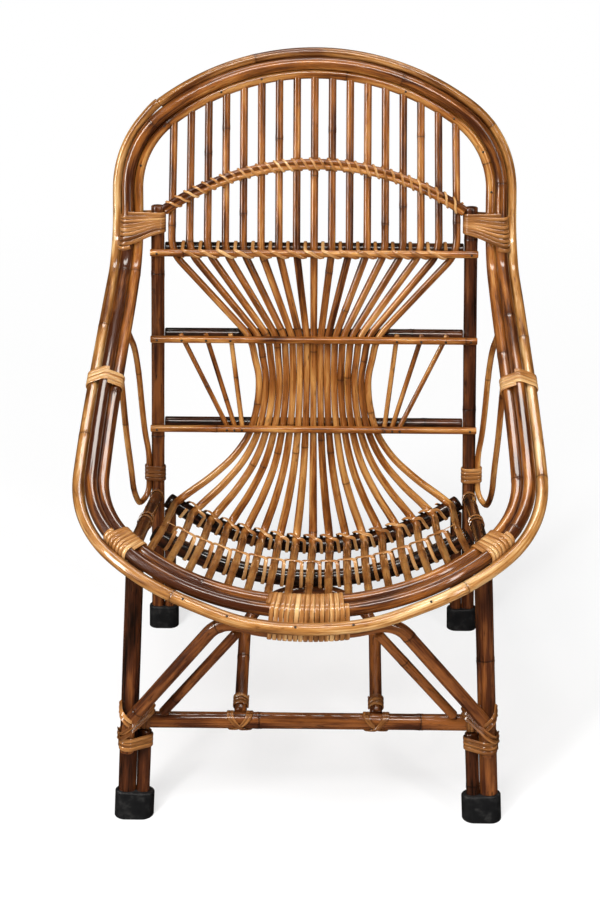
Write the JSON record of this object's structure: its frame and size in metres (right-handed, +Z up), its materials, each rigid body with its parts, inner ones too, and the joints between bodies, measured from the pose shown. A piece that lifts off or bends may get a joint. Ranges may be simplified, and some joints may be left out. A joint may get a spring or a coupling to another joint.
{
  "type": "bamboo lawn chair",
  "caption": "Low lounge chair of bent canes with a hoop rim that forms back and arms, waisted cane back and bucket seat, bound joints and rubber feet.",
  "frame": {"origin": "on the floor, under the middle of the chair's box", "axes": "+Z up, the sitter faces -Y, +X is the sitter's left"},
  "size_m": [0.6368, 0.7067, 0.9125],
  "materials": {
    "cane_honey": "varnished honey-brown cane with dark nodes",
    "cane_dark": "dark red-brown varnished cane",
    "cane_light": "straw-coloured varnished cane",
    "binding": "glossy split-cane strip",
    "rubber": "matt black rubber",
    "nail": "dull dark steel"
  },
  "bodies": {
    "root": {"arm_bindings": "binding", "back_arch_front": "cane_light", "back_arch_rear": "cane_light", "back_rail_lower_front": "cane_light", "back_rail_lower_rear": "cane_dark", "back_rail_middle_front": "cane_light", "back_rail_middle_rear": "cane_dark", "back_rail_upper_front": "cane_light", "back_rail_upper_rear": "cane_dark", "cane_lashings": "binding", "corner_bindings": "binding", "diagonal_brace_left": "cane_dark", "diagonal_brace_right": "cane_dark", "fan_sticks": "cane_honey", "foot_cap_front_left": "rubber", "foot_cap_front_right": "rubber", "foot_cap_rear_left": "rubber", "foot_cap_rear_right": "rubber", "frame_bindings": "binding", "front_arch_brace": "cane_dark", "front_binding": "binding", "front_doubler_left": "cane_dark", "front_doubler_right": "cane_dark", "front_leg_left": "cane_dark", "front_leg_right": "cane_dark", "front_stretcher": "cane_dark", "rail_nails": "nail", "rear_doubler_left": "cane_dark", "rear_doubler_right": "cane_dark", "rear_post_left": "cane_dark", "rear_post_right": "cane_dark", "rim_inner_cane": "cane_honey", "rim_middle_cane": "cane_honey", "rim_outer_cane": "cane_light", "seat_bearer_front": "cane_dark", "seat_bearer_rear": "cane_dark", "seat_prop_hoop": "cane_dark", "seat_side_rail_left": "cane_dark", "seat_side_rail_right": "cane_dark", "shoulder_bindings": "binding", "side_loop_left": "cane_honey", "side_loop_right": "cane_honey", "spindle_01": "cane_honey", "spindle_02": "cane_honey", "spindle_03": "cane_honey", "spindle_04": "cane_honey", "spindle_05": "cane_honey", "spindle_06": "cane_honey", "spindle_07": "cane_honey", "spindle_08": "cane_honey", "spindle_09": "cane_honey", "spindle_10": "cane_honey", "spindle_11": "cane_honey", "spindle_12": "cane_honey", "spindle_13": "cane_honey", "spindle_14": "cane_honey", "spindle_15": "cane_honey", "spindle_16": "cane_honey", "spindle_17": "cane_honey"}
  },
  "joints": []
}
